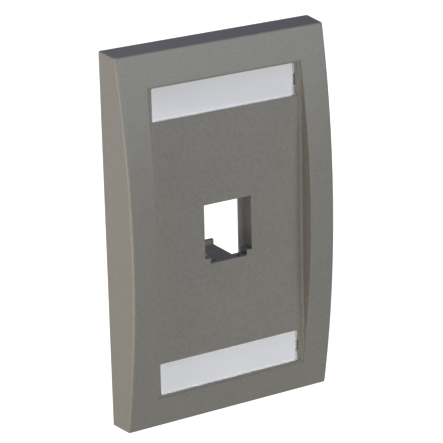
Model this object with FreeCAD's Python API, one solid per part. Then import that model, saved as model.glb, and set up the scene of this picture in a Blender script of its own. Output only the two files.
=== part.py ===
import FreeCAD, Part
import math
import os

# Single-gang faceplate for one snap-in jack, with a label window over each mounting screw.
# Millimetres. +X is the viewer's right, +Z is up and the front faces -Y. The origin is at the centre
# of the plate's rim, which lies on the wall plane y = 0. Depths are counted forwards from that plane
# unless a comment says otherwise.

# Outer moulding
plate_width = 69.85
plate_height = 114.3
end_thickness = 8.4          # front surface above the wall at the top and bottom ends
crown = 6.0                  # how much further forward the front stands at mid-height
side_draft = 3.0             # degrees, on all four outer sides
side_edge_radius = 0.85      # front edges down the two long sides
end_edge_radius = 0.5        # front edges across the two ends, and the four corners
wall = 2.0

# Flat panel sunk between the two side rails
rail_width = 9.5             # outer rim to the foot of the rail's inner wall
panel_step = 0.3             # step down to the panel at its top and bottom ends
panel_end_margin = 0.58      # panel left beyond each label pocket
panel_wall = 2.0
rail_draft = 9.0             # degrees, on the inner wall of each rail
rail_foot_radius = 0.8
rail_crest_radius = 0.35
crest_overshoot = 0.012      # share of the crest's radius that its rounding rises past the front
foot_share = 0.6             # most of the wall's height that each rounding takes, where it runs low
crest_share = 0.3
recess_steps = 8             # stretches between the sections that the recess is lofted through

# Mounting screws, No. 6-32 with an 82 degree slotted flat head
screw_edge_distance = 15.48  # plate's end to the screw's axis
screw_length = 19.05         # head and shank together
shank_radius = 1.75
neck_radius = 1.45           # plain neck between the head and the thread
neck_setback = 1.0           # rear end of the neck, in front of the wall plane
head_radius = 3.45
head_rim = 0.25              # straight edge of the head
countersink_angle = 82.0
head_sink = 0.1              # head below the pocket's floor
seat_clearance = 0.06
hole_radius = 2.0
tip_chamfer = 0.6
slot_width = 1.05
slot_depth = 0.9

# Screw bosses behind the pockets
boss_radius = 4.7
boss_setback = 2.0           # rear end of a boss, in front of the wall plane

# Label pockets and what lies in them
pocket_height = 10.0
pocket_left_margin = 1.35    # foot of the left rail to the pocket
pocket_depth = 1.45          # below the panel's face
pocket_floor = 1.8
pocket_corner_radius = 0.4
ledge_margin = 0.8           # pry ledge's bevelled edge to the foot of the right rail
ledge_depth = 0.45           # below the panel's face, with a 45 degree bevel up to it
ledge_width = 0.6
pry_slot_height = 3.6
pry_slot_depth = 1.1         # below the pocket's floor
pry_slot_reach = 0.6         # how far the slot runs in under the cover
pry_slot_width = 0.45        # slot's opening in the ledge
cover_gap = 0.1
cover_thickness = 1.1
cover_bevel = 0.15
cover_corner_radius = 0.4
scoop_radius = 1.7
scoop_depth = 0.5
grip_rib_spacing = 17.0
grip_rib_share = 0.7         # of the cover's gap that its grip ribs fill
label_thickness = 0.2
label_gap = 0.05             # paper's edge inside the cover's edge

# Jack opening in the panel
port_width = 15.9
port_above = 9.1             # mid-height of the plate to the opening's top
port_below = 7.4             # mid-height of the plate to the ledges at the opening's foot
notch_width = 12.35
notch_depth = 1.7            # ledges to the floor between them
collar_wall = 1.6
collar_depth = 7.8           # panel's face to the collar's rear edge
floor_depth = 3.6            # panel's face to the floor's rear edge
floor_thickness = 1.5
tongue_width = 6.3
tongue_thickness = 1.2
tongue_reach = 10.3          # floor's rear edge to the front of the catch lip
tongue_room = 2.0            # under the tongue, where it bends down to let a jack in
lip_height = 1.65
lip_thickness = 1.0
relief_width = 1.1           # blind pockets in the floor, beside the tongue's root
relief_length = 1.3
relief_depth = 1.0
relief_from_tongue = 0.45
relief_from_edge = 0.9
latch_window_width = 8.0
latch_window_length = 2.4
latch_window_from_edge = 1.4

# Stiffening ribs behind the panel
rib_thickness = 1.2
rib_setback = 3.0            # rear edge of a rib, in front of the wall plane
long_rib_offset = 17.0       # plate's centre line to each upright rib

# Worked out from the sizes above
half_width = plate_width / 2
half_height = plate_height / 2
screw_z = half_height - screw_edge_distance
panel_half_width = half_width - rail_width
panel_half_height = screw_z + pocket_height / 2 + panel_end_margin
front_depth = end_thickness + crown
front_radius = (half_height ** 2 + crown ** 2) / (2 * crown)
front_axis_y = front_radius - front_depth
ahead = 5.0                  # how far cutting tools run past the front or the back


def surface_depth(z):
    """Depth of the bowed front surface above the wall plane at height z."""
    return math.sqrt(front_radius ** 2 - z ** 2) - front_axis_y


panel_face = surface_depth(panel_half_height) - panel_step
pocket_face = panel_face - pocket_depth
pocket_left = -panel_half_width + pocket_left_margin
ledge_right = panel_half_width - ledge_margin - ledge_depth
pocket_right = ledge_right - ledge_width
cover_left = pocket_left + cover_gap
cover_right = pocket_right - cover_gap
label_face = pocket_face + label_thickness
cover_face = label_face + cover_thickness
collar_rear = panel_face - collar_depth
floor_rear = panel_face - floor_depth
floor_z = -port_below - notch_depth
tongue_room_z = floor_z - tongue_thickness - tongue_room


def box(x0, x1, y0, y1, z0, z1):
    """Block between two corners."""
    return Part.makeBox(x1 - x0, y1 - y0, z1 - z0, FreeCAD.Vector(x0, y0, z0))


def tapered_block(rear, front, rear_x, rear_z, front_x, front_z):
    """Block centred on the Y axis, from depth rear to depth front, with its half sizes at both ends."""
    return Part.makeWedge(-front_x, -front, -front_z, -rear_z, -rear_x,
                          front_x, -rear, front_z, rear_z, rear_x)


def corner_edges(shape):
    """Edges that run from back to front, upright to the wall or nearly so."""
    found = []
    for edge in shape.Edges:
        run = edge.Vertexes[-1].Point.sub(edge.Vertexes[0].Point)
        if abs(run.y) > abs(run.x) + abs(run.z):
            found.append(edge)
    return found


def edges_at(shape, depth_at):
    """Edges whose ends both lie on a front surface, whose depth at height z is depth_at(z)."""
    found = []
    for edge in shape.Edges:
        ends = [vertex.Point for vertex in edge.Vertexes]
        if all(abs(-end.y - depth_at(end.z)) < 0.01 for end in ends):
            found.append(edge)
    return found


def bowed_slab(inset):
    """Everything behind the front surface, moved back by an inset and wider than the plate."""
    radius = front_radius - inset
    reach = half_height + ahead
    end_y = front_axis_y - math.sqrt(radius ** 2 - reach ** 2)
    top = FreeCAD.Vector(-plate_width, end_y, reach)
    middle = FreeCAD.Vector(-plate_width, front_axis_y - radius, 0)
    bottom = FreeCAD.Vector(-plate_width, end_y, -reach)
    back_top = FreeCAD.Vector(-plate_width, ahead, reach)
    back_bottom = FreeCAD.Vector(-plate_width, ahead, -reach)
    profile = Part.Wire([
        Part.Arc(top, middle, bottom).toShape(),
        Part.makeLine(bottom, back_bottom),
        Part.makeLine(back_bottom, back_top),
        Part.makeLine(back_top, top),
    ])
    return Part.Face(profile).extrude(FreeCAD.Vector(2 * plate_width, 0, 0))


def outer_body():
    """Tapered block under the bowed front, with its front edges and its corners rounded."""
    reach = front_depth + ahead
    shrink = reach * math.tan(math.radians(side_draft))
    block = tapered_block(0, reach, half_width, half_height, half_width - shrink, half_height - shrink)
    body = block.common(bowed_slab(0))
    side_edges = []
    for edge in edges_at(body, surface_depth):
        across = edge.Vertexes[-1].X - edge.Vertexes[0].X
        if abs(across) < half_width:
            side_edges.append(edge)
    body = body.makeFillet(side_edge_radius, side_edges)
    end_edges = []
    for face in body.Faces:
        if abs(face.normalAt(0, 0).z) > math.cos(math.radians(2 * side_draft)):
            end_edges += [edge for edge in face.Edges if edge.BoundBox.YMin < -end_edge_radius]
    return body.makeFillet(end_edge_radius, end_edges)


def rounded_corner(before, corner, after, radius):
    """Arc that rounds a corner between two straight runs."""
    back = before.sub(corner).normalize()
    onward = after.sub(corner).normalize()
    half_angle = back.getAngle(onward) / 2
    run = radius / math.tan(half_angle)
    start = corner.add(back * run)
    end = corner.add(onward * run)
    inward = back.add(onward).normalize()
    middle = corner.add(inward * (radius / math.sin(half_angle) - radius))
    return Part.Arc(start, middle, end).toShape()


def recess_section(z):
    """Outline of the space between the rails at height z: both feet and both crests are rounded."""
    lean = math.tan(math.radians(rail_draft))
    rise = surface_depth(z) - panel_face
    foot_radius = min(rail_foot_radius, foot_share * rise)
    crest_radius = min(rail_crest_radius, crest_share * rise)
    crest_rise = rise + crest_overshoot * crest_radius
    crest_x = panel_half_width + crest_rise * lean
    above = front_depth - panel_face + ahead
    middle = FreeCAD.Vector(0, -panel_face, z)
    foot = FreeCAD.Vector(panel_half_width, -panel_face, z)
    crest = FreeCAD.Vector(crest_x, -panel_face - crest_rise, z)
    beside = FreeCAD.Vector(crest_x + rail_width, -panel_face - crest_rise, z)
    foot_arc = rounded_corner(middle, foot, crest, foot_radius)
    crest_arc = rounded_corner(foot, crest, beside, crest_radius)
    shoulder = crest_arc.Vertexes[-1].Point
    top = FreeCAD.Vector(shoulder.x, -panel_face - above, z)
    right_side = [
        Part.makeLine(FreeCAD.Vector(0, -panel_face, z), foot_arc.Vertexes[0].Point),
        foot_arc,
        Part.makeLine(foot_arc.Vertexes[-1].Point, crest_arc.Vertexes[0].Point),
        crest_arc,
        Part.makeLine(shoulder, top),
        Part.makeLine(top, FreeCAD.Vector(0, -panel_face - above, z)),
    ]
    centre = FreeCAD.Vector(0, 0, 0)
    left_side = [edge.mirror(centre, FreeCAD.Vector(1, 0, 0)) for edge in reversed(right_side)]
    return Part.Wire(right_side + left_side)


def recess_tool():
    """Space between the rails, in front of the panel. Its roundings fade out with the rails' height."""
    sections = []
    for step in range(recess_steps + 1):
        height = -panel_half_height * math.cos(math.pi * step / recess_steps)
        sections.append(recess_section(height))
    return Part.makeLoft(sections, True)


def boss(z):
    """Post around a screw hole, from the pocket's floor back towards the wall."""
    length = pocket_face - pocket_floor / 2 - boss_setback
    return Part.makeCylinder(boss_radius, length, FreeCAD.Vector(0, -boss_setback, z),
                             FreeCAD.Vector(0, -1, 0))


def cross_rib(z):
    """Rib across the plate at height z."""
    return box(-half_width, half_width, -panel_face, -rib_setback,
               z - rib_thickness / 2, z + rib_thickness / 2)


def long_rib(x):
    """Upright rib at x."""
    return box(x - rib_thickness / 2, x + rib_thickness / 2, -panel_face, -rib_setback,
               -panel_half_height, panel_half_height)


def hollow_back():
    """Space inside the plate, behind its walls and around what stands in it."""
    taper = math.tan(math.radians(side_draft))
    reach = front_depth + ahead
    inner_x = half_width - wall
    inner_z = half_height - wall
    space = tapered_block(-ahead, reach, inner_x + ahead * taper, inner_z + ahead * taper,
                          inner_x - reach * taper, inner_z - reach * taper)
    space = space.common(bowed_slab(wall))
    backing_x = panel_half_width + wall
    backing_z = panel_half_height + wall
    front = -front_depth - ahead
    half_pocket = pocket_height / 2 + wall
    collar_x = port_width / 2 + collar_wall
    collar_top = port_above + collar_wall
    collar_bottom = tongue_room_z - collar_wall
    middle_rib_z = (collar_top + screw_z - half_pocket) / 2
    solid_parts = [
        box(-backing_x, backing_x, front, -panel_face + panel_wall, -backing_z, backing_z),
        box(-collar_x, collar_x, -panel_face, -collar_rear, collar_bottom, collar_top),
    ]
    for side in (1, -1):
        z = side * screw_z
        solid_parts += [
            box(pocket_left - wall, pocket_right + wall, front, -pocket_face + pocket_floor,
                z - half_pocket, z + half_pocket),
            boss(z),
            cross_rib(z),
            cross_rib(side * middle_rib_z),
            long_rib(side * long_rib_offset),
        ]
    return space.cut(solid_parts)


def ledge_tool(z):
    """Cut for the shallow ledge at a pocket's right end, with its bevelled outer edge."""
    bottom = z - pocket_height / 2
    bevel_right = ledge_right + ledge_depth
    points = [
        FreeCAD.Vector(cover_right, -panel_face + ledge_depth, bottom),
        FreeCAD.Vector(ledge_right, -panel_face + ledge_depth, bottom),
        FreeCAD.Vector(bevel_right, -panel_face, bottom),
        FreeCAD.Vector(bevel_right, -front_depth, bottom),
        FreeCAD.Vector(cover_right, -front_depth, bottom),
    ]
    profile = Part.Face(Part.makePolygon(points + points[:1]))
    return profile.extrude(FreeCAD.Vector(0, 0, pocket_height))


def pocket_tools(z):
    """Cuts for one label pocket, its pry ledge and slot and the screw's hole and seat, around height z."""
    front = -front_depth - ahead
    forward = FreeCAD.Vector(0, -1, 0)
    pocket = box(pocket_left, pocket_right, front, -pocket_face, z - pocket_height / 2, z + pocket_height / 2)
    pocket = pocket.makeFillet(pocket_corner_radius, corner_edges(pocket))
    slot = box(cover_right - pry_slot_reach, pocket_right + pry_slot_width, -panel_face,
               -pocket_face + pry_slot_depth, z - pry_slot_height / 2, z + pry_slot_height / 2)
    hole = Part.makeCylinder(hole_radius, front_depth + ahead, FreeCAD.Vector(0, ahead, z), forward)
    seat = head_profile(seat_clearance, pocket_depth).revolve(FreeCAD.Vector(0, 0, 0), forward, 360)
    seat.translate(FreeCAD.Vector(0, 0, z))
    return [pocket, ledge_tool(z), slot, hole, seat]


def head_profile(clearance, rise):
    """Half section of a screw's head, or of its seat, grown by a clearance and run forwards by a rise."""
    taper = math.tan(math.radians(countersink_angle / 2))
    front_y = -pocket_face + head_sink
    rim_y = front_y + head_rim
    foot_y = rim_y + (head_radius - neck_radius) / taper
    points = [
        FreeCAD.Vector(0, front_y - rise, 0),
        FreeCAD.Vector(head_radius + clearance, front_y - rise, 0),
        FreeCAD.Vector(head_radius + clearance, rim_y, 0),
        FreeCAD.Vector(neck_radius + clearance, foot_y, 0),
        FreeCAD.Vector(0, foot_y, 0),
    ]
    return Part.Face(Part.makePolygon(points + points[:1]))


def port_tools():
    """Cuts for the jack opening: the way through, the notch between its ledges, and what is open behind."""
    front = -front_depth - ahead
    half_port = port_width / 2
    half_notch = notch_width / 2
    opening = box(-half_port, half_port, front, ahead, -port_below, port_above)
    notch = box(-half_notch, half_notch, front, ahead, floor_z, 0)
    behind_floor = box(-half_port, half_port, -floor_rear, ahead, tongue_room_z, 0)
    under_floor = box(-half_port, half_port, -panel_face + panel_wall, ahead,
                      tongue_room_z, floor_z - floor_thickness)
    window_rear = -collar_rear - latch_window_from_edge
    window = box(-latch_window_width / 2, latch_window_width / 2, window_rear - latch_window_length,
                 window_rear, 0, port_above + 2 * collar_wall)
    tools = [opening, notch, behind_floor, under_floor, window]
    for side in (1, -1):
        near = side * (tongue_width / 2 + relief_from_tongue)
        far = near + side * relief_width
        rear = -floor_rear - relief_from_edge
        tools.append(box(min(near, far), max(near, far), rear - relief_length, rear,
                         floor_z - relief_depth, floor_z + notch_depth / 2))
    return tools


def tongue():
    """Spring tongue that runs back from the floor, with its catch lip."""
    half_tongue = tongue_width / 2
    lip_front = -floor_rear + tongue_reach
    root = -floor_rear - floor_depth / 2
    lip_rear = lip_front + lip_thickness
    blade = box(-half_tongue, half_tongue, root, lip_rear, floor_z - tongue_thickness, floor_z)
    lip = box(-half_tongue, half_tongue, lip_front, lip_rear, floor_z, floor_z + lip_height)
    return blade.fuse(lip).removeSplitter()


def faceplate():
    """The whole moulding."""
    body = outer_body().cut(recess_tool())
    body = body.cut(hollow_back())
    tools = pocket_tools(screw_z) + pocket_tools(-screw_z) + port_tools()
    body = body.cut(tools)
    body = body.fuse(tongue())
    return body.removeSplitter()


def label_cover(z):
    """Clear cover with bevelled edges, grip ribs on its long edges and a nail scoop in its right end."""
    half = pocket_height / 2 - cover_gap
    forward = FreeCAD.Vector(0, -1, 0)
    plate = box(cover_left, cover_right, -cover_face, -label_face, z - half, z + half)
    plate = plate.makeFillet(cover_corner_radius, corner_edges(plate))
    plate = plate.makeChamfer(cover_bevel, edges_at(plate, lambda height: cover_face))
    rib_radius = grip_rib_share * cover_gap
    rib_length = cover_thickness - 2 * cover_bevel
    middle_x = (cover_left + cover_right) / 2
    ribs = []
    for step in (-1, 0, 1):
        for side in (1, -1):
            foot = FreeCAD.Vector(middle_x + step * grip_rib_spacing, -label_face, z + side * half)
            ribs.append(Part.makeCylinder(rib_radius, rib_length, foot, forward))
    scoop_foot = FreeCAD.Vector(cover_right, -cover_face + scoop_depth, z)
    scoop = Part.makeCylinder(scoop_radius, scoop_depth + ahead, scoop_foot, forward)
    return plate.fuse(ribs).cut(scoop).removeSplitter()


def label(z):
    """Paper strip on the pocket's floor."""
    half = pocket_height / 2 - cover_gap - label_gap
    left = cover_left + label_gap
    right = cover_right - label_gap
    return box(left, right, -label_face, -pocket_face, z - half, z + half)


def mounting_screw(z):
    """Slotted flat-head machine screw through the pocket's floor, with a plain neck and a chamfered tip."""
    front_y = -pocket_face + head_sink
    tip_y = front_y + screw_length
    neck_y = -neck_setback
    back = FreeCAD.Vector(0, 1, 0)
    head = head_profile(0, 0).revolve(FreeCAD.Vector(0, 0, 0), back, 360)
    rim_y = front_y + head_rim
    neck = Part.makeCylinder(neck_radius, neck_y - rim_y, FreeCAD.Vector(0, rim_y, 0), back)
    thread = Part.makeCylinder(shank_radius, tip_y - tip_chamfer - neck_y, FreeCAD.Vector(0, neck_y, 0), back)
    tip = Part.makeCone(shank_radius, shank_radius - tip_chamfer, tip_chamfer,
                        FreeCAD.Vector(0, tip_y - tip_chamfer, 0), back)
    slot = box(-head_radius - ahead, head_radius + ahead, front_y - ahead, front_y + slot_depth,
               -slot_width / 2, slot_width / 2)
    screw = head.fuse([neck, thread, tip]).removeSplitter().cut(slot)
    screw.translate(FreeCAD.Vector(0, 0, z))
    return screw


pieces = {
    "faceplate": faceplate(),
    "upper_label_cover": label_cover(screw_z),
    "lower_label_cover": label_cover(-screw_z),
    "upper_label": label(screw_z),
    "lower_label": label(-screw_z),
    "upper_mounting_screw": mounting_screw(screw_z),
    "lower_mounting_screw": mounting_screw(-screw_z),
}

os.makedirs("parts", exist_ok=True)
for name, piece in pieces.items():
    piece.exportStep("parts/" + name + ".step")
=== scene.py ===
"""Looks of the keystone faceplate: moulded plastic, clear covers over card labels, threaded wall screws
and a plain white studio. Lengths are in metres; +X is the viewer's right, +Y runs into the wall, +Z is up."""

import math

import bmesh
import bpy
from mathutils import Matrix, Vector


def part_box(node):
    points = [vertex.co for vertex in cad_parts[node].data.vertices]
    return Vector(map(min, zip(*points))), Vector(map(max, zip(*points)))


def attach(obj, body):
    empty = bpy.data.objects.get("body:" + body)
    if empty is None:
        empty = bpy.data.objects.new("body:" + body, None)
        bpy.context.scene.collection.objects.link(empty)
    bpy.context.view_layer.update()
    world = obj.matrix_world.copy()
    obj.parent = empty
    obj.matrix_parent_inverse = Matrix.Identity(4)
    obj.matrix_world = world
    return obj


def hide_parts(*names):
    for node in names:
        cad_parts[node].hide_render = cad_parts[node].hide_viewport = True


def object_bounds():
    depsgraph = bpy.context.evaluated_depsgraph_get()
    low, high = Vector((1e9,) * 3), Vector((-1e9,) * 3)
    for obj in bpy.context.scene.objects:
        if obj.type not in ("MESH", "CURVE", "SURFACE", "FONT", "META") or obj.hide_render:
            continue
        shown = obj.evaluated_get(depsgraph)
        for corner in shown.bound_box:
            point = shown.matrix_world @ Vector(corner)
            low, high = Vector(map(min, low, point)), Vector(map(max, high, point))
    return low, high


MM = 0.001

# Faces that meet at a wider angle than this keep a sharp edge between them
MOULDED_SHARP = math.radians(28)
CLEAR_SHARP = math.radians(10)
SCREW_SHARP = math.radians(30)
SEWN_GAP = 1e-7               # vertices closer than this are one

# Card labels
CARD_THICKNESS_SHARE = 0.7    # of the label's room
CARD_CORNER = 0.35 * MM
CARD_CORNER_STEPS = 6

# No. 6-32 countersunk screw
THREAD_PITCH = 25.4 / 32 * MM
THREAD_DEPTH = 0.47 * MM
CREST_WIDTH = 0.15            # flat top of the thread, as a share of the pitch
FLANK_STEEPNESS = 1.6         # each flank takes 1 / 1.6 of half a pitch
THREAD_START = 7.46 * MM      # front of the head to the end of the plain neck
NECK_RADIUS = 1.45 * MM
HEAD_RIM = 0.25 * MM
HEAD_TAPER = math.tan(math.radians(82 / 2))
SHANK_RADIUS = 1.75 * MM
TIP_CHAMFER = 0.6 * MM
SLOT_WIDTH = 1.05 * MM
SLOT_DEPTH = 0.9 * MM
SEAM_GAP = 0.001 * MM         # the rolled sheet's edges are joined within this
STEPS_AROUND = 48
STEPS_PER_TURN = 9

# Camera: it stands to the left of the plate and above it
VIEW_AZIMUTH = math.radians(30.76)
VIEW_ELEVATION = math.radians(19.34)
VIEW_ROLL = math.radians(-1.32)
VIEW_DISTANCE = 0.6698
VIEW_RIGHT = 3.22 * MM
VIEW_UP = -0.22 * MM
VIEW_LENS = 184.86
VIEW_SENSOR = 36.0

# Studio
FLOOR_DROP = 0.3
FLOOR_SIZE = 12.0
FLOOR_FRONT = 1.543           # how far in front of the plate's middle the floor ends
FLOOR_SLANT = math.radians(29.5)
FLOOR_SEEN = 1.2              # glow that the camera sees
FLOOR_REFLECTED = 0.86        # glow that the plate and its covers mirror
ROOM_SEEN = 1.0
ROOM_REFLECTED = 0.0
LIGHT_DISTANCE = 1.5
LIGHT_WIDTH = 0.7
CLOSE_LIGHT_DISTANCE = 0.42
CLOSE_LIGHT_WIDTH = 0.26


# ---------------------------------------------------------------- node helpers

def add_sockets(tree, inputs, outputs):
    """Named inputs (name, kind, value) and outputs (name, kind) on a node group."""
    for name, kind, value in inputs:
        socket = tree.interface.new_socket(name=name, in_out="INPUT", socket_type=kind)
        if value is not None:
            socket.default_value = value
    for name, kind in outputs:
        tree.interface.new_socket(name=name, in_out="OUTPUT", socket_type=kind)


def math_node(tree, operation, first, second=None, third=None):
    """A Math node fed by sockets or numbers. Returns its output."""
    node = tree.nodes.new("ShaderNodeMath")
    node.operation = operation
    for slot, value in enumerate((first, second, third)):
        if value is None:
            continue
        if isinstance(value, (int, float)):
            node.inputs[slot].default_value = value
        else:
            tree.links.new(value, node.inputs[slot])
    return node.outputs[0]


# ---------------------------------------------------------------- surface finishes

def fine_grain_group():
    """Colour, roughness and height of a surface with a fine even grain and a broad faint mottle."""
    group = bpy.data.node_groups.new("fine_grain", "ShaderNodeTree")
    add_sockets(
        group,
        [
            ("Colour", "NodeSocketColor", (0.5, 0.5, 0.5, 1)),
            ("Colour Spread", "NodeSocketFloat", 0.1),
            ("Mottle", "NodeSocketFloat", 0.05),
            ("Roughness", "NodeSocketFloat", 0.5),
            ("Roughness Spread", "NodeSocketFloat", 0.1),
            ("Grain Size", "NodeSocketFloat", 0.4 * MM),
            ("Mottle Size", "NodeSocketFloat", 15 * MM),
        ],
        [("Colour", "NodeSocketColor"), ("Roughness", "NodeSocketFloat"), ("Height", "NodeSocketFloat")],
    )
    nodes, links = group.nodes, group.links
    entry = nodes.new("NodeGroupInput")
    leave = nodes.new("NodeGroupOutput")
    place = nodes.new("ShaderNodeTexCoord").outputs["Object"]

    def noise(size, detail):
        texture = nodes.new("ShaderNodeTexNoise")
        texture.inputs["Detail"].default_value = detail
        links.new(place, texture.inputs["Vector"])
        links.new(math_node(group, "DIVIDE", 1.0, size), texture.inputs["Scale"])
        return texture.outputs[0]

    grain = noise(entry.outputs["Grain Size"], 3.0)
    mottle = noise(entry.outputs["Mottle Size"], 2.0)
    grain_offset = math_node(group, "SUBTRACT", grain, 0.5)
    mottle_offset = math_node(group, "SUBTRACT", mottle, 0.5)
    shade = math_node(group, "MULTIPLY_ADD", grain_offset, entry.outputs["Colour Spread"], 1.0)
    shade = math_node(group, "MULTIPLY_ADD", mottle_offset, entry.outputs["Mottle"], shade)
    tint = nodes.new("ShaderNodeVectorMath")
    tint.operation = "SCALE"
    links.new(entry.outputs["Colour"], tint.inputs[0])
    links.new(shade, tint.inputs["Scale"])
    links.new(tint.outputs[0], leave.inputs["Colour"])
    rough = math_node(group, "MULTIPLY_ADD", grain_offset, entry.outputs["Roughness Spread"],
                      entry.outputs["Roughness"])
    links.new(rough, leave.inputs["Roughness"])
    links.new(grain, leave.inputs["Height"])
    return group


def grained_material(name, group, values, relief, shader_values):
    """A Principled material whose colour, roughness and relief come from the fine grain group."""
    material = bpy.data.materials.new(name)
    material.use_nodes = True
    tree = material.node_tree
    shader = tree.nodes["Principled BSDF"]
    grain = tree.nodes.new("ShaderNodeGroup")
    grain.node_tree = group
    for key, value in values.items():
        grain.inputs[key].default_value = value
    bump = tree.nodes.new("ShaderNodeBump")
    bump.inputs["Strength"].default_value = 1.0
    bump.inputs["Distance"].default_value = relief
    tree.links.new(grain.outputs["Height"], bump.inputs["Height"])
    tree.links.new(grain.outputs["Colour"], shader.inputs["Base Color"])
    tree.links.new(grain.outputs["Roughness"], shader.inputs["Roughness"])
    tree.links.new(bump.outputs["Normal"], shader.inputs["Normal"])
    for key, value in shader_values.items():
        shader.inputs[key].default_value = value
    return material


def moulded_plastic(group):
    """Warm grey plastic from a spark-eroded mould: satin, with a fine even texture."""
    values = {
        "Colour": (0.215, 0.205, 0.187, 1),
        "Colour Spread": 0.42,
        "Mottle": 0.08,
        "Roughness": 0.42,
        "Roughness Spread": 0.15,
        "Grain Size": 0.8 * MM,
        "Mottle Size": 14 * MM,
    }
    return grained_material("moulded_plastic", group, values, 0.022 * MM, {"IOR": 1.5})


def clear_plastic(group):
    """Clear polished plastic with the faintest waviness."""
    values = {
        "Colour": (0.97, 0.98, 1.0, 1),
        "Colour Spread": 0.0,
        "Mottle": 0.0,
        "Roughness": 0.05,
        "Roughness Spread": 0.02,
        "Grain Size": 6 * MM,
        "Mottle Size": 20 * MM,
    }
    return grained_material("clear_plastic", group, values, 0.0001 * MM,
                            {"IOR": 1.49, "Transmission Weight": 1.0})


def label_card(group):
    """Plain white card with a faint fibre."""
    values = {
        "Colour": (0.905, 0.89, 0.93, 1),
        "Colour Spread": 0.06,
        "Mottle": 0.02,
        "Roughness": 0.85,
        "Roughness Spread": 0.05,
        "Grain Size": 0.2 * MM,
        "Mottle Size": 5 * MM,
    }
    return grained_material("label_card", group, values, 0.004 * MM, {"IOR": 1.45})


def plated_steel(group):
    """Zinc-plated steel, a little uneven."""
    values = {
        "Colour": (0.62, 0.63, 0.62, 1),
        "Colour Spread": 0.12,
        "Mottle": 0.12,
        "Roughness": 0.3,
        "Roughness Spread": 0.25,
        "Grain Size": 0.25 * MM,
        "Mottle Size": 2.5 * MM,
    }
    return grained_material("plated_steel", group, values, 0.002 * MM, {"Metallic": 1.0})


# ---------------------------------------------------------------- pieces

def finish_piece(piece, node, body, material):
    """Gives a piece its material and lets it stand for its CAD node on its body."""
    piece.data.materials.clear()
    piece.data.materials.append(material)
    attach(piece, body)
    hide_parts(node)


def new_piece(name, mesh):
    """A scene object for a mesh that already lies in its place."""
    piece = bpy.data.objects.new(name, mesh)
    bpy.context.scene.collection.objects.link(piece)
    return piece


def smooth_copy(node, name, sharp_from):
    """Copy of a CAD node's mesh with its faces sewn together, its curved faces smooth, its sharp edges kept
    and its large flat faces left truly flat. The normals it came with belong to the unsewn mesh and go."""
    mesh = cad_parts[node].data.copy()
    stored = mesh.attributes.get("custom_normal")
    if stored:
        mesh.attributes.remove(stored)
    shape = bmesh.new()
    shape.from_mesh(mesh)
    bmesh.ops.remove_doubles(shape, verts=shape.verts, dist=SEWN_GAP)
    shape.to_mesh(mesh)
    shape.free()
    mesh.shade_smooth()
    mesh.set_sharp_from_angle(angle=sharp_from)
    piece = new_piece(name, mesh)
    weighted = piece.modifiers.new("even_normals", "WEIGHTED_NORMAL")
    weighted.mode = "FACE_AREA"
    weighted.keep_sharp = True
    bpy.context.view_layer.update()
    evaluated = piece.evaluated_get(bpy.context.evaluated_depsgraph_get())
    smooth = bpy.data.meshes.new_from_object(evaluated)
    piece.modifiers.clear()
    piece.data = smooth
    return piece


def card_mesh(low, high, corner):
    """Thin card between two corners, with rounded corners in the X-Z plane."""
    outline = []
    left, right = low.x + corner, high.x - corner
    bottom, top = low.z + corner, high.z - corner
    corners = ((right, top, 0), (left, top, 90), (left, bottom, 180), (right, bottom, 270))
    for centre_x, centre_z, start in corners:
        for step in range(CARD_CORNER_STEPS + 1):
            angle = math.radians(start + step * 90 / CARD_CORNER_STEPS)
            outline.append((centre_x + corner * math.cos(angle), centre_z + corner * math.sin(angle)))
    shape = bmesh.new()
    front = [shape.verts.new((x, low.y, z)) for x, z in outline]
    face = shape.faces.new(front)
    sides = bmesh.ops.extrude_face_region(shape, geom=[face])
    moved = [item for item in sides["geom"] if isinstance(item, bmesh.types.BMVert)]
    bmesh.ops.translate(shape, vec=(0, high.y - low.y, 0), verts=moved)
    bmesh.ops.recalc_face_normals(shape, faces=shape.faces)
    mesh = bpy.data.meshes.new("card")
    shape.to_mesh(mesh)
    shape.free()
    return mesh


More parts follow.
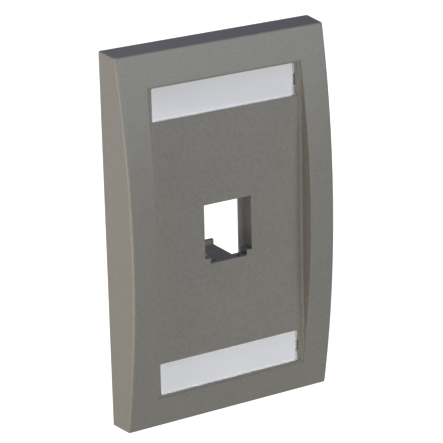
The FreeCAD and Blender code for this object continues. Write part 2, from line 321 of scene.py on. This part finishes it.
def screw_tree():
    """Geometry nodes for a slotted countersunk screw with a helical thread, head at the origin, along +Y."""
    tree = bpy.data.node_groups.new("threaded_screw", "GeometryNodeTree")
    number = "NodeSocketFloat"
    add_sockets(
        tree,
        [
            ("Length", number, 19 * MM),
            ("Head Radius", number, 3.45 * MM),
            ("Head Rim", number, HEAD_RIM),
            ("Head Taper", number, HEAD_TAPER),
            ("Shank Radius", number, SHANK_RADIUS),
            ("Neck Radius", number, NECK_RADIUS),
            ("Pitch", number, THREAD_PITCH),
            ("Thread Depth", number, THREAD_DEPTH),
            ("Crest Width", number, CREST_WIDTH),
            ("Flank Steepness", number, FLANK_STEEPNESS),
            ("Thread Start", number, THREAD_START),
            ("Tip Chamfer", number, TIP_CHAMFER),
            ("Slot Width", number, SLOT_WIDTH),
            ("Slot Depth", number, SLOT_DEPTH),
            ("Steps Around", "NodeSocketInt", STEPS_AROUND),
            ("Steps Along", "NodeSocketInt", 200),
            ("Material", "NodeSocketMaterial", None),
        ],
        [("Geometry", "NodeSocketGeometry")],
    )
    nodes, links = tree.nodes, tree.links
    size = nodes.new("NodeGroupInput").outputs
    leave = nodes.new("NodeGroupOutput")

    def calc(operation, first, second=None, third=None):
        return math_node(tree, operation, first, second, third)

    # A flat sheet, one turn wide and one screw long, whose first and last rows close the two ends.
    step = calc("DIVIDE", size["Length"], size["Steps Along"])
    sheet = nodes.new("GeometryNodeMeshGrid")
    sheet.inputs["Size X"].default_value = math.tau
    links.new(calc("MULTIPLY_ADD", step, 2.0, size["Length"]), sheet.inputs["Size Y"])
    links.new(calc("ADD", size["Steps Around"], 1.0), sheet.inputs["Vertices X"])
    links.new(calc("ADD", size["Steps Along"], 3.0), sheet.inputs["Vertices Y"])
    position = nodes.new("GeometryNodeInputPosition")
    parts = nodes.new("ShaderNodeSeparateXYZ")
    links.new(position.outputs[0], parts.inputs[0])
    angle = parts.outputs["X"]
    raw = calc("ADD", parts.outputs["Y"], calc("MULTIPLY", size["Length"], 0.5))
    along = calc("MINIMUM", calc("MAXIMUM", raw, 0.0), size["Length"])

    # Thread: a trapezium wave that climbs one pitch a turn and starts where the neck ends.
    turns = calc("SUBTRACT", calc("DIVIDE", along, size["Pitch"]), calc("DIVIDE", angle, math.tau))
    wave = calc("ABSOLUTE", calc("MULTIPLY_ADD", calc("FRACT", turns), 2.0, -1.0))
    groove = calc("MULTIPLY", calc("SUBTRACT", wave, size["Crest Width"]), size["Flank Steepness"])
    groove = calc("MINIMUM", calc("MAXIMUM", groove, 0.0), 1.0)
    cut = calc("MULTIPLY", groove, size["Thread Depth"])
    thread = calc("SUBTRACT", size["Shank Radius"], cut)
    past_neck = calc("MAXIMUM", calc("SUBTRACT", along, size["Thread Start"]), 0.0)
    neck = calc("ADD", size["Neck Radius"], past_neck)
    shank = calc("MINIMUM", thread, neck)

    # Countersunk head, chamfered tip and the closed ends.
    below_rim = calc("MAXIMUM", calc("SUBTRACT", along, size["Head Rim"]), 0.0)
    head = calc("SUBTRACT", size["Head Radius"], calc("MULTIPLY", below_rim, size["Head Taper"]))
    to_tip = calc("SUBTRACT", size["Length"], along)
    tip = calc("ADD", calc("SUBTRACT", size["Shank Radius"], size["Tip Chamfer"]), to_tip)
    radius = calc("MINIMUM", calc("MAXIMUM", head, shank), tip)
    inside_start = calc("GREATER_THAN", raw, calc("MULTIPLY", step, -0.5))
    inside_end = calc("LESS_THAN", raw, calc("MULTIPLY_ADD", step, 0.5, size["Length"]))
    radius = calc("MULTIPLY", radius, calc("MULTIPLY", inside_start, inside_end))

    wrapped = nodes.new("ShaderNodeCombineXYZ")
    links.new(calc("MULTIPLY", radius, calc("COSINE", angle)), wrapped.inputs["X"])
    links.new(along, wrapped.inputs["Y"])
    links.new(calc("MULTIPLY", radius, calc("SINE", angle)), wrapped.inputs["Z"])
    roll = nodes.new("GeometryNodeSetPosition")
    links.new(sheet.outputs["Mesh"], roll.inputs["Geometry"])
    links.new(wrapped.outputs[0], roll.inputs["Position"])
    closed = nodes.new("GeometryNodeMergeByDistance")
    closed.inputs["Distance"].default_value = SEAM_GAP
    links.new(roll.outputs[0], closed.inputs["Geometry"])
    outward = nodes.new("GeometryNodeFlipFaces")
    links.new(closed.outputs[0], outward.inputs["Mesh"])

    # Driver slot across the head.
    blade = nodes.new("GeometryNodeMeshCube")
    blade_size = nodes.new("ShaderNodeCombineXYZ")
    links.new(calc("MULTIPLY", size["Head Radius"], 3.0), blade_size.inputs["X"])
    links.new(calc("MULTIPLY", size["Slot Depth"], 2.0), blade_size.inputs["Y"])
    links.new(size["Slot Width"], blade_size.inputs["Z"])
    links.new(blade_size.outputs[0], blade.inputs["Size"])
    slotted = nodes.new("GeometryNodeMeshBoolean")
    slotted.operation = "DIFFERENCE"
    slotted.solver = "EXACT"
    links.new(outward.outputs[0], slotted.inputs[0])
    links.new(blade.outputs["Mesh"], slotted.inputs[1])

    real = nodes.new("GeometryNodeRealizeInstances")
    dress = nodes.new("GeometryNodeSetMaterial")
    links.new(slotted.outputs["Mesh"], real.inputs[0])
    links.new(real.outputs[0], dress.inputs["Geometry"])
    links.new(size["Material"], dress.inputs["Material"])
    links.new(dress.outputs[0], leave.inputs["Geometry"])
    return tree


def threaded_screw(name, node, tree, material):
    """Screw of the geometry nodes, in the place and at the size of its CAD node."""
    low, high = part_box(node)
    length = high.y - low.y
    maker = new_piece(name + "_maker", bpy.data.meshes.new(name))
    modifier = maker.modifiers.new("screw", "NODES")
    modifier.node_group = tree
    values = {
        "Length": length,
        "Head Radius": (high.z - low.z) / 2,
        "Steps Along": int(length / THREAD_PITCH * STEPS_PER_TURN),
        "Material": material,
    }
    for item in tree.interface.items_tree:
        if item.in_out == "INPUT" and item.name in values:
            modifier[item.identifier] = values[item.name]
    bpy.context.view_layer.update()
    evaluated = maker.evaluated_get(bpy.context.evaluated_depsgraph_get())
    mesh = bpy.data.meshes.new_from_object(evaluated)
    bpy.data.objects.remove(maker)
    mesh.transform(Matrix.Translation((0, low.y, (low.z + high.z) / 2)))
    mesh.shade_smooth()
    mesh.set_sharp_from_angle(angle=SCREW_SHARP)
    return new_piece(name, mesh)


# ---------------------------------------------------------------- studio

def glow_level(tree, seen, reflected):
    """A glow that is one strength to the camera and another to everything else."""
    rays = tree.nodes.new("ShaderNodeLightPath")
    return math_node(tree, "MULTIPLY_ADD", rays.outputs["Is Camera Ray"], seen - reflected, reflected)


def build_floor(low):
    """Wide floor that glows white by itself, well below the plate. It ends in front of it, on a slant."""
    mesh = bpy.data.meshes.new("floor")
    height = low.z - FLOOR_DROP
    slant = FLOOR_SIZE * math.tan(FLOOR_SLANT)
    corners = [(-FLOOR_SIZE, -FLOOR_FRONT - slant, height), (FLOOR_SIZE, slant - FLOOR_FRONT, height),
               (FLOOR_SIZE, FLOOR_SIZE, height), (-FLOOR_SIZE, FLOOR_SIZE, height)]
    mesh.from_pydata(corners, [], [(0, 1, 2, 3)])
    floor = new_piece("floor", mesh)
    material = bpy.data.materials.new("white_floor")
    material.use_nodes = True
    tree = material.node_tree
    shader = tree.nodes["Principled BSDF"]
    shader.inputs["Base Color"].default_value = (0, 0, 0, 1)
    shader.inputs["Specular IOR Level"].default_value = 0.0
    shader.inputs["Emission Color"].default_value = (1, 1, 1, 1)
    tree.links.new(glow_level(tree, FLOOR_SEEN, FLOOR_REFLECTED), shader.inputs["Emission Strength"])
    mesh.materials.append(material)
    floor.visible_diffuse = False
    floor.visible_shadow = False


def soft_light(name, azimuth, elevation, distance, width, power, colour):
    """Round soft light that looks at the plate from a direction given in degrees.
    Azimuth 0 is straight in front, 90 at the viewer's right and -90 at the left."""
    light = bpy.data.lights.new(name, "AREA")
    light.shape = "DISK"
    light.size = width
    light.energy = power
    light.color = colour
    lamp = bpy.data.objects.new(name, light)
    bpy.context.scene.collection.objects.link(lamp)
    a = math.radians(azimuth)
    e = math.radians(elevation)
    outwards = Vector((math.sin(a) * math.cos(e), -math.cos(a) * math.cos(e), math.sin(e)))
    lamp.location = outwards * distance
    lamp.rotation_euler = outwards.to_track_quat("Z", "Y").to_euler()


def build_lights():
    """Soft lights in front and at the left, a cooler close one above the left edge and two weak fills."""
    soft_light("front_light", 0, 10, LIGHT_DISTANCE, LIGHT_WIDTH, 9.4, (1.0, 0.99, 0.905))
    soft_light("front_right_light", 30, 10, LIGHT_DISTANCE, LIGHT_WIDTH, 5.8, (0.88, 0.945, 1.0))
    soft_light("left_light", -90, -15, LIGHT_DISTANCE, LIGHT_WIDTH, 14.6, (1.0, 0.92, 0.69))
    soft_light("high_left_light", -90, 40, CLOSE_LIGHT_DISTANCE, CLOSE_LIGHT_WIDTH, 0.86, (0.775, 0.77, 1.0))
    soft_light("high_right_fill", 30, 60, LIGHT_DISTANCE, LIGHT_WIDTH, 3.9, (0.76, 0.81, 1.0))
    soft_light("back_fill", 150, 10, LIGHT_DISTANCE, LIGHT_WIDTH, 0.44, (0.66, 0.64, 1.0))


def build_world():
    """Dark room with a white surrounding that only the camera sees."""
    world = bpy.data.worlds.new("studio")
    bpy.context.scene.world = world
    world.use_nodes = True
    tree = world.node_tree
    backdrop = tree.nodes["Background"]
    backdrop.inputs["Color"].default_value = (1.0, 1.0, 1.0, 1)
    tree.links.new(glow_level(tree, ROOM_SEEN, ROOM_REFLECTED), backdrop.inputs["Strength"])


def build_camera():
    """Long-lens camera to the left of the plate and above it, a touch out of level."""
    data = bpy.data.cameras.new("camera")
    data.lens = VIEW_LENS
    data.sensor_width = VIEW_SENSOR
    data.clip_start = 0.01
    camera = bpy.data.objects.new("camera", data)
    bpy.context.scene.collection.objects.link(camera)
    facing = (Matrix.Rotation(-VIEW_AZIMUTH, 4, "Z") @ Matrix.Rotation(-VIEW_ELEVATION, 4, "X")
              @ Matrix.Rotation(-VIEW_ROLL, 4, "Y"))
    place = facing @ Vector((VIEW_RIGHT, -VIEW_DISTANCE, VIEW_UP))
    camera.matrix_world = Matrix.Translation(place) @ facing @ Matrix.Rotation(math.pi / 2, 4, "X")
    bpy.context.scene.camera = camera


# ---------------------------------------------------------------- assembly

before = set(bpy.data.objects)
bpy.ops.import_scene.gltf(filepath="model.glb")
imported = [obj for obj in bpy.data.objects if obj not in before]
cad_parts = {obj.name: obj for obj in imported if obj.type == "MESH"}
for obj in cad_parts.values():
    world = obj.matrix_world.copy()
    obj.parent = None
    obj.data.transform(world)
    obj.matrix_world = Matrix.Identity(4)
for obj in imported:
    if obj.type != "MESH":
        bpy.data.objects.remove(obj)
cad_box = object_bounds()

grain = fine_grain_group()
plastic = moulded_plastic(grain)
clear = clear_plastic(grain)
card = label_card(grain)
steel = plated_steel(grain)
screw_nodes = screw_tree()

moulding = smooth_copy("faceplate", "moulded_faceplate", MOULDED_SHARP)
finish_piece(moulding, "faceplate", "plate", plastic)

for level in ("upper", "lower"):
    cover = smooth_copy(level + "_label_cover", level + "_clear_cover", CLEAR_SHARP)
    finish_piece(cover, level + "_label_cover", level + "_cover", clear)
    cover.visible_shadow = False
    cover.visible_diffuse = False
    low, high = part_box(level + "_label")
    low.y = high.y - (high.y - low.y) * CARD_THICKNESS_SHARE
    label = new_piece(level + "_card_label", card_mesh(low, high, CARD_CORNER))
    finish_piece(label, level + "_label", "plate", card)
    screw = threaded_screw(level + "_threaded_screw", level + "_mounting_screw", screw_nodes, steel)
    finish_piece(screw, level + "_mounting_screw", level + "_screw", steel)

build_floor(cad_box[0])
build_lights()
build_world()
build_camera()
bpy.context.scene.view_settings.view_transform = "Standard"
